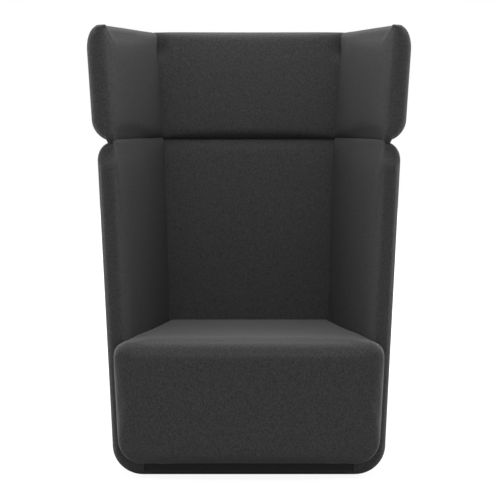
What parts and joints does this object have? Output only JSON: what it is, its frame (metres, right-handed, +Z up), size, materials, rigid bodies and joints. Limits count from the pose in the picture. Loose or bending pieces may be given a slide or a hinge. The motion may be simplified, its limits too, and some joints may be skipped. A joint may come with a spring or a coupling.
{
  "type": "acoustic high back lounge chair",
  "caption": "High back lounge chair with splayed felt-covered side walls, a rolled seat block and a separate winged acoustic headrest shell on low levelling glides.",
  "frame": {"origin": "on the floor, at the centre of the chair's footprint box", "axes": "+Z up, the sitter faces -Y, +X to the right seen from the front"},
  "size_m": [1.0014, 0.7494, 1.4],
  "materials": {
    "felt_outside": "dark grey wool felt, fine melange, dry matt",
    "felt_inside": "dark grey wool felt over foam, fine melange, dry matt",
    "felt_seat": "dark grey wool felt stretched over the seat block, dry matt",
    "foam": "pale open-celled polyether foam",
    "birch_ply": "unfinished birch plywood",
    "timber": "planed softwood",
    "black_cloth": "thin black non-woven under cloth",
    "elastic": "woven elastic webbing, black",
    "zinc_steel": "bright zinc-plated steel",
    "glide_plastic": "black moulded nylon"
  },
  "bodies": {
    "chair": {"back_board": "birch_ply", "back_foam": "foam", "back_pad_cover": "felt_inside", "base_board": "birch_ply", "base_cloth": "black_cloth", "bracket_packers": "timber", "bracket_screws": "zinc_steel", "corner_blocks": "timber", "corner_post_left": "timber", "corner_post_right": "timber", "cross_rail_front": "timber", "cross_rail_middle": "timber", "cross_rail_rear": "timber", "front_valance": "black_cloth", "headrest_back_board": "birch_ply", "headrest_bottom_frame": "birch_ply", "headrest_brackets": "zinc_steel", "headrest_foam": "foam", "headrest_outer_cover_back": "felt_outside", "headrest_outer_cover_left": "felt_outside", "headrest_outer_cover_right": "felt_outside", "headrest_pad_cover": "felt_inside", "headrest_pins": "zinc_steel", "headrest_post_left": "timber", "headrest_post_right": "timber", "outer_cover_back": "felt_outside", "outer_cover_left": "felt_outside", "outer_cover_right": "felt_outside", "pin_blocks": "timber", "seat_centre_panel": "birch_ply", "seat_cover": "felt_seat", "seat_deck": "birch_ply", "seat_foam": "foam", "seat_front_panel": "birch_ply", "seat_rear_panel": "birch_ply", "seat_side_panel_left": "birch_ply", "seat_side_panel_right": "birch_ply", "side_board_left": "birch_ply", "side_board_right": "birch_ply", "side_foam_left": "foam", "side_foam_right": "foam", "side_pad_cover_left": "felt_inside", "side_pad_cover_right": "felt_inside", "tee_nuts": "zinc_steel", "webbing_crosswise": "elastic", "webbing_lengthwise": "elastic", "wing_board_left": "birch_ply", "wing_board_right": "birch_ply", "wing_foam_left": "foam", "wing_foam_right": "foam", "wing_pad_cover_left": "felt_inside", "wing_pad_cover_right": "felt_inside"},
    "glide_front_left": {"glide_foot_front_left": "glide_plastic", "glide_stud_front_left": "zinc_steel"},
    "glide_front_right": {"glide_foot_front_right": "glide_plastic", "glide_stud_front_right": "zinc_steel"},
    "glide_rear_left": {"glide_foot_rear_left": "glide_plastic", "glide_stud_rear_left": "zinc_steel"},
    "glide_rear_right": {"glide_foot_rear_right": "glide_plastic", "glide_stud_rear_right": "zinc_steel"}
  },
  "joints": [
    {"name": "level_front_left", "type": "slide", "parent": "chair", "child": "glide_front_left", "axis": [0, 0, -1], "range_m": [0, 0.008]},
    {"name": "level_front_right", "type": "slide", "parent": "chair", "child": "glide_front_right", "axis": [0, 0, -1], "range_m": [0, 0.008]},
    {"name": "level_rear_left", "type": "slide", "parent": "chair", "child": "glide_rear_left", "axis": [0, 0, -1], "range_m": [0, 0.008]},
    {"name": "level_rear_right", "type": "slide", "parent": "chair", "child": "glide_rear_right", "axis": [0, 0, -1], "range_m": [0, 0.008]}
  ]
}
